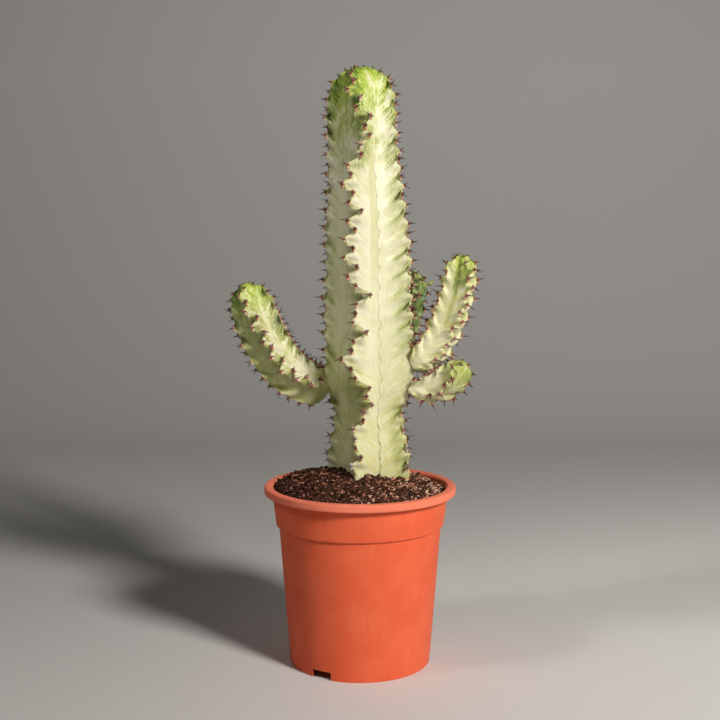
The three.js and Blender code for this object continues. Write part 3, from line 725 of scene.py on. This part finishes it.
spinePaint = {
    "stops": [(0.0, (0.30, 0.12, 0.085)), (0.25, (0.12, 0.045, 0.035)), (0.6, (0.03, 0.016, 0.014)),
              (1.0, (0.016, 0.01, 0.01))],
    "tintShift": 0.3, "old": (0.30, 0.28, 0.30), "worn": (0.2, 0.9), "oldOver": 0.8, "rough": 0.45,
    "rougher": 0.2,
}
shieldPaint = {
    "pads": [(0.0, (0.12, 0.035, 0.025)), (0.5, (0.26, 0.10, 0.075)), (1.0, (0.44, 0.23, 0.19))],
    "patches": [(0.0, (0.50, 0.18, 0.08)), (0.5, (0.64, 0.33, 0.19)), (1.0, (0.74, 0.53, 0.40))],
    "grain": (1800.0, 3), "grainShift": 0.5, "old": (0.52, 0.50, 0.50), "worn": (0.15, 0.75),
    "oldOver": 0.85, "bump": (0.5, 0.3), "rough": 0.6, "rougher": 0.2,
}
leafPaint = {
    "pale": (0.46, 0.44, 0.07), "green": (0.17, 0.26, 0.03), "grain": (400.0, 3), "greenIn": (0.35, 0.7),
    "rough": 0.45, "rougher": 0.1,
}


# greys what is old, some of it more than the rest
def weathered(sheet, colour, paint, even=0.6):
    worn = (sheet.attribute("old") * (even + sheet.attribute("tint"))).between(*paint["worn"])
    return sheet.mixed(colour, paint["old"], worn * paint["oldOver"])


def paintSpine(sheet):
    look, tint = spinePaint, sheet.attribute("tint")
    colour = sheet.ramp(look["stops"], sheet.attribute("reach") + (tint - 0.5) * look["tintShift"])
    return roughened(sheet, look, weathered(sheet, colour, look), tint)


def paintShield(sheet):
    look, shift = shieldPaint, shieldPaint["grainShift"]
    grain = sheet.noise(sheet.coords(), *look["grain"])
    tinted = sheet.attribute("tint") + grain * shift - shift / 2
    pad, patch = (sheet.ramp(look[name], tinted) for name in ("pads", "patches"))
    colour = weathered(sheet, sheet.mixed(pad, patch, sheet.attribute("below")), look)
    return roughened(sheet, look, colour, grain)


def paintLeaf(sheet):
    look, grain = leafPaint, sheet.noise(sheet.coords(), *leafPaint["grain"])
    colour = sheet.mixed(look["pale"], look["green"], grain.between(*look["greenIn"]))
    return roughened(sheet, look, colour, grain)


areoles = [areole for stem in stems for areole in areolesOf(stem)]
spinePiece = objectFrom(
    gathered(areoles, ["reach", "tint", "old"], spinePair), "spines", newMaterial("darkSpine", paintSpine))
shieldPiece = objectFrom(
    gathered(areoles, ["tint", "below", "old"], shieldPads), "spineShields",
    newMaterial("spineShield", paintShield))
youngest = [areole for areole in areoles if areole["toTip"] < leaflets["toTip"]]
stray = min(areoles, key=lambda areole: (areole["place"] - Vector(leaflets["stray"])).length)
stray["leafSize"] = leaflets["strayLength"] / leaflets["length"]
youngest.append(stray)
leafPiece = objectFrom(gathered(youngest, [], leaflet), "leaflets", newMaterial("youngLeaf", paintLeaf))
print("spines, shields and leaflets on", len(areoles), "areoles")


# corners are [radius, height, rounding]; the first slot is at an angle round the pot, in degrees
pot = {
    "steps": 160, "wall": 1.6, "footRadius": 70, "floor": 10, "sharpest": 40,
    "outline": [
        [0, 0, 0], [28, 0, 1], [30, 10, 1], [67.5, 10, 0.6], [68.4, 0, 0.4], [70, 0, 0.5], [71.3, 17, 0.1],
        [75.85, 76.6, 0.1], [80.3, 135, 0.1], [80.3, 137, 0.5], [81.3, 138.6, 0.5], [83.4, 138.9, 0.5],
        [83.6, 141, 0.1], [86.8, 167.8, 0.1], [87, 169.5, 0.4], [94.2, 169.5, 1.0], [95, 171, 0.8],
        [95, 176, 1.0], [94, 177, 0.8], [87, 177, 1.0], [85.4, 175, 0.6], [81.8, 141, 2], [79, 136, 2],
        [69.6, 16, 0.1], [69.3, 11.6, 1], [28.4, 11.6, 1], [26.4, 1.6, 0.6], [0, 1.6, 0],
    ],
    "slotFirst": -122, "slotCount": 3, "slotWidth": 21, "slotHeight": 8, "slotLength": 12,
}
# "lumps" has the rates of the waves over the top, and "roughness" pairs of height and rate
soil = {
    "edge": 84.2, "edgeZ": 173.5, "mound": 19, "tilt": 0.035, "lump": 1.3, "steps": 180, "rings": 70,
    "ringCrowding": 0.85, "lumps": [[0.19, 0.23], [0.41, 0.37]], "finer": 0.6,
    "roughness": [[2.6, 0.055], [1.6, 0.16], [1.3, 0.42]],
    "outline": [[0, 1.9], [26, 1.9], [28, 11.9], [69, 11.9], [78.7, 136.2], [81.5, 141], [84.1, 166]],
}
chips = {
    "count": 5200, "least": 0.5, "most": 2.4, "fewLarge": 2.2, "large": 50, "largest": 4.4,
    "reach": 0.985, "flatness": [[0.3, 0.4], [0.22, 0.3]], "tip": [0.6, 0.55], "raised": 0.25,
    "ragged": 0.22, "litSideShift": 0.24,
}


# the outline with its corners rounded, over less than half of either side
def rounded(outline, steps=5, share=0.45):
    corners = [Vector(corner[:2]) for corner in outline]
    points = [corners[0]]
    for i in range(1, len(outline) - 1):
        here, radius = corners[i], outline[i][2]
        ahead, behind = corners[i + 1] - here, corners[i - 1] - here
        a = here + behind.normalized() * min(radius, share * behind.length)
        b = here + ahead.normalized() * min(radius, share * ahead.length)
        for step in range(steps + 1):
            t = step / steps
            points.append(a * (1 - t) ** 2 + here * 2 * t * (1 - t) + b * t * t)
    return [*points, corners[-1]]


def turnedShape(bm, points, steps):
    verts = [bm.verts.new((x * mm, 0, z * mm)) for x, z in points]
    edges = [bm.edges.new(pair) for pair in zip(verts, verts[1:])]
    bmesh.ops.spin(
        bm, geom=[*verts, *edges], cent=(0, 0, 0), axis=(0, 0, 1), angle=2 * math.pi, steps=steps,
        use_merge=True)
    bmesh.ops.remove_doubles(bm, verts=bm.verts, dist=weld)
    bmesh.ops.recalc_face_normals(bm, faces=bm.faces)


# takes a box out of a piece; the box is turned round the pot's axis
def cutAway(piece, size, centre, turn):
    bm = bmesh.new()
    scale = Matrix.Diagonal((*[s * mm for s in size], 1))
    place = Matrix.Rotation(turn, 4, "Z") @ Matrix.Translation(Vector(centre) * mm) @ scale
    bmesh.ops.create_cube(bm, size=1, matrix=place)
    mesh = bpy.data.meshes.new("cutter")
    bm.to_mesh(mesh)
    bm.free()
    cutter = added("cutter", mesh)
    modifier = piece.modifiers.new("cut", "BOOLEAN")
    modifier.operation, modifier.solver, modifier.object = "DIFFERENCE", "EXACT", cutter
    with bpy.context.temp_override(object=piece, active_object=piece):
        bpy.ops.object.modifier_apply(modifier=modifier.name)
    bpy.data.objects.remove(cutter)


def makePot(material):
    bm = bmesh.new()
    turnedShape(bm, rounded(pot["outline"]), pot["steps"])
    made = objectFrom(bm, "nurseryPot", material)
    length, width, height = pot["slotLength"], pot["slotWidth"], pot["slotHeight"]
    for i in range(pot["slotCount"]):
        turn = math.radians(pot["slotFirst"] + 360 * i / pot["slotCount"])
        cutAway(made, (length, width, 2 * height), (pot["footRadius"], 0, 0), turn)
        cutAway(made, (length, width, 4 * pot["wall"]), (pot["footRadius"] - length, 0, pot["floor"]), turn)
    made.data.set_sharp_from_angle(angle=math.radians(pot["sharpest"]))
    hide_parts("pot")


# noises have their scale, detail and roughness; pairs are where a mask begins and is full
potPaint = {
    "clouds": (26.0, 4, 0.6), "specks": (800.0, 2, 0.6), "dust": (520.0, 3, 0.7), "relief": (700.0, 3, 0.6),
    "flow": ((1, 1, 0.12), 190.0, 3, 0.6),
    "speckSize": (0.62, 0.7), "speckClouds": (0.35, 0.6), "dustSize": (0.69, 0.78),
    "dustClouds": (0.45, 0.65), "rimHeight": (168, 171), "cloudy": (0.3, 0.7), "flowing": (0.5, 0.8),
    "orange": (0.73, 0.118, 0.048), "lighter": (0.78, 0.142, 0.062), "flowColour": (0.52, 0.06, 0.018),
    "speckColour": (0.92, 0.34, 0.22), "dustColour": (0.85, 0.42, 0.30), "rimColour": (0.86, 0.27, 0.17),
    "flowOver": 0.16, "specksOver": 0.45, "dustOver": 0.5, "rimOver": 0.4,
    "rough": 0.4, "cloudsRough": 0.12, "dustRough": 0.15, "rimRough": 0.15, "flowRelief": 0.6,
    "bump": (0.12, 0.3),
}


def paintPot(sheet):
    look, coords = potPaint, sheet.coords()
    clouds, specks, dust, relief = (
        sheet.noise(coords, *look[name]) for name in ("clouds", "specks", "dust", "relief"))
    flow = sheet.pattern(coords, *look["flow"])
    specks = specks.between(*look["speckSize"]) * clouds.between(*look["speckClouds"])
    dust = dust.between(*look["dustSize"]) * clouds.between(*look["dustClouds"])
    height = sheet.node("ShaderNodeSeparateXYZ", {}, {"Vector": coords}, "Z") * 1000
    # the rim is painted lighter, pinker and rougher than the wall below it
    rim = height.between(*look["rimHeight"])
    colour = sheet.mixed(look["orange"], look["lighter"], clouds.between(*look["cloudy"]))
    for name, amount in (
        ("flowColour", flow.between(*look["flowing"]) * look["flowOver"]),
        ("speckColour", specks * look["specksOver"]), ("dustColour", dust * look["dustOver"]),
        ("rimColour", rim * (look["rimOver"] + look["rimOver"] * clouds)),
    ):
        colour = sheet.mixed(colour, look[name], amount)
    roughness = look["rough"] + look["cloudsRough"] * clouds + look["dustRough"] * dust
    return {
        "Base Color": colour, "Roughness": roughness + look["rimRough"] * rim, "IOR": 1.4,
        "Specular IOR Level": 0.1, "Normal": sheet.bump(relief + flow * look["flowRelief"], *look["bump"]),
    }


# level of the soil's top at a place, in millimetres
def soilLevel(x, y):
    out = math.hypot(x, y) / soil["edge"]
    (a, b), (c, d) = soil["lumps"]
    lumps = math.sin(a * x + 1) * math.cos(b * y) + soil["finer"] * math.sin(c * x - d * y)
    return soil["edgeZ"] + soil["mound"] * (1 - out**2) - soil["tilt"] * x + soil["lump"] * out * lumps


# the rough grain over that level
def crumble(x, y):
    return sum(size * noise.noise(Vector((x * rate, y * rate, size))) for size, rate in soil["roughness"])


def makeSoil(material):
    bm = bmesh.new()
    aloft = 1000  # the top is turned high up, so that its points can be told, and then let down
    shares = [(1 - i / soil["rings"]) ** soil["ringCrowding"] for i in range(soil["rings"] + 1)]
    top = [[soil["edge"] * share, aloft] for share in shares]
    turnedShape(bm, [Vector(p) for p in [*soil["outline"], *top]], soil["steps"])
    for v in bm.verts:
        if v.co.z > 0.5 * aloft * mm:
            x, y = v.co.x / mm, v.co.y / mm
            v.co.z = (soilLevel(x, y) + crumble(x, y)) * mm
    made = objectFrom(bm, "soilMound", material, smooth=False)
    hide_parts("soil")


def barkChip(bm, number, tint):
    reach = soil["edge"] * math.sqrt(scattered.random()) * chips["reach"]
    turn = 2 * math.pi * scattered.random()
    x, y = reach * math.cos(turn), reach * math.sin(turn)
    size = chips["least"] + (chips["most"] - chips["least"]) * scattered.random() ** chips["fewLarge"]
    if number < chips["large"]:
        size = chips["most"] + (chips["largest"] - chips["most"]) * scattered.random()
    shape = [size, *[size * (least + more * scattered.random()) for least, more in chips["flatness"]]]
    spin = Matrix.Rotation(2 * math.pi * scattered.random(), 3, "Z")
    over, along = (
        Matrix.Rotation(scattered.gauss(0, spread), 3, axis) for spread, axis in zip(chips["tip"], "XY"))
    inset = min(1, (soil["edge"] - reach) / size)
    centre = Vector((x, y, soilLevel(x, y) + crumble(x, y) + chips["raised"] * size * inset))
    place = placed(centre, (spin @ (over @ along)).transposed(), shape)
    made = bmesh.ops.create_icosphere(bm, subdivisions=1, radius=1, matrix=place)
    # chips grow lighter towards +x and darker towards -x: painted light on the side the main light falls on
    # and painted shade on the left, where the stem's shadow lies, besides paler chips lying more on the
    # right
    colour = scattered.random() + chips["litSideShift"] * x / soil["edge"]
    for v in made["verts"]:
        v.co += Vector([scattered.uniform(-1, 1) for axis in range(3)]) * chips["ragged"] * shape[1] * mm
        v[tint] = colour


peatPaint = {
    "dark": (0.008, 0.003, 0.0015), "brown": (0.16, 0.063, 0.035), "brownIn": (0.42, 0.68),
    "grain": (620.0, 5, 0.7), "bump": (0.8, 1.5), "rough": 0.9, "rougher": -0.1,
    "sockets": {"Specular IOR Level": 0.12},
}
barkPaint = {
    "stops": [(0.0, (0.008, 0.004, 0.003)), (0.4, (0.052, 0.019, 0.011)), (0.62, (0.22, 0.080, 0.042)),
              (0.85, (0.48, 0.23, 0.15)), (1.0, (0.84, 0.56, 0.40))],
    "grain": (700.0, 4, 0.7), "grainShift": 0.3, "bump": (0.7, 0.6), "rough": 0.85, "rougher": -0.15,
    "sockets": {"Specular IOR Level": 0.12},
}


def paintPeat(sheet):
    look, grain = peatPaint, sheet.noise(sheet.coords(), *peatPaint["grain"])
    colour = sheet.mixed(look["dark"], look["brown"], grain.between(*look["brownIn"]))
    return roughened(sheet, look, colour, grain)


def paintBark(sheet):
    look, grain = barkPaint, sheet.noise(sheet.coords(), *barkPaint["grain"])
    place = sheet.attribute("tint") + (grain - 0.5) * look["grainShift"]
    return roughened(sheet, look, sheet.ramp(look["stops"], place), grain)


makePot(newMaterial("satinPlastic", paintPot))
makeSoil(newMaterial("peat", paintPeat))
scattered = Random(21)
chipPiece = objectFrom(
    gathered(range(chips["count"]), ["tint"], barkChip), "barkChips", newMaterial("bark", paintBark),
    smooth=False)
print("pot and soil made")


# studio: a pale floor that curves up into the backdrop, the main light from the front right, a faint and
# narrow one from the front left, aimed above the pot, and a dim world
studio = {
    "floor": (0.68, 0.67, 0.65), "floorRough": 0.8, "size": 6000, "depth": 1200, "rise": 1500, "bend": 900,
    "bendSteps": 24,
    "key": {
        "place": (1170, -1373, 1230), "size": 400, "power": 46, "colour": (1, 0.965, 0.92), "spread": 180,
        "aim": (0, 0, 250),
    },
    "fill": {
        "place": (-900, -520, 1280), "size": 300, "power": 0.215, "colour": (1, 0.98, 0.95), "spread": 30,
        "aim": (0, 0, 395),
    },
    "world": (0.80, 0.79, 0.78), "worldStrength": 0.05,
}
camera = {"place": (0, -1087.9, 407.4), "tilt": 5.583, "focal": 55.53, "sensor": 36}


def makeFloor():
    bm = bmesh.new()
    size, depth, bend, steps = (studio[name] for name in ("size", "depth", "bend", "bendSteps"))
    points = [(-size, 0)]
    for step in range(steps + 1):
        turn = math.pi / 2 * step / steps
        points.append((depth + bend * math.sin(turn), bend * (1 - math.cos(turn))))
    points.append((depth + bend, bend + studio["rise"]))
    verts = [bm.verts.new((-size * mm, y * mm, z * mm)) for y, z in points]
    edges = [bm.edges.new(pair) for pair in zip(verts, verts[1:])]
    swept = bmesh.ops.extrude_edge_only(bm, edges=edges)
    moved = [item for item in swept["geom"] if isinstance(item, bmesh.types.BMVert)]
    bmesh.ops.translate(bm, verts=moved, vec=(2 * size * mm, 0, 0))
    bmesh.ops.recalc_face_normals(bm, faces=bm.faces)
    sockets = {"Base Color": (*studio["floor"], 1), "Roughness": studio["floorRough"]}
    material = newMaterial("paleFloor", lambda sheet: sockets)
    floor = added("floor", meshFrom(bm, "floor", material, True))


def makeLight(name, look):
    light = bpy.data.lights.new(name, "AREA")
    light.size, light.energy, light.color = look["size"] * mm, look["power"], look["colour"]
    light.spread = math.radians(look["spread"])
    lamp, place = added(name, light), Vector(look["place"])
    lamp.location = place * mm
    lamp.rotation_euler = (place - Vector(look["aim"])).to_track_quat("Z", "Y").to_euler()


def makeCamera():
    lens = bpy.data.cameras.new("camera")
    lens.lens, lens.sensor_width = camera["focal"], camera["sensor"]
    eye = added("camera", lens)
    eye.location = Vector(camera["place"]) * mm
    eye.rotation_euler = (math.radians(90 - camera["tilt"]), 0, 0)
    bpy.context.scene.camera = eye


makeFloor()
makeLight("keyLight", studio["key"])
makeLight("fillLight", studio["fill"])
world = bpy.data.worlds.new("studioWorld")
world.use_nodes = True
background = world.node_tree.nodes["Background"].inputs
background["Color"].default_value = (*studio["world"], 1)
background["Strength"].default_value = studio["worldStrength"]
bpy.context.scene.world = world
bpy.context.scene.view_settings.view_transform = "Standard"
makeCamera()
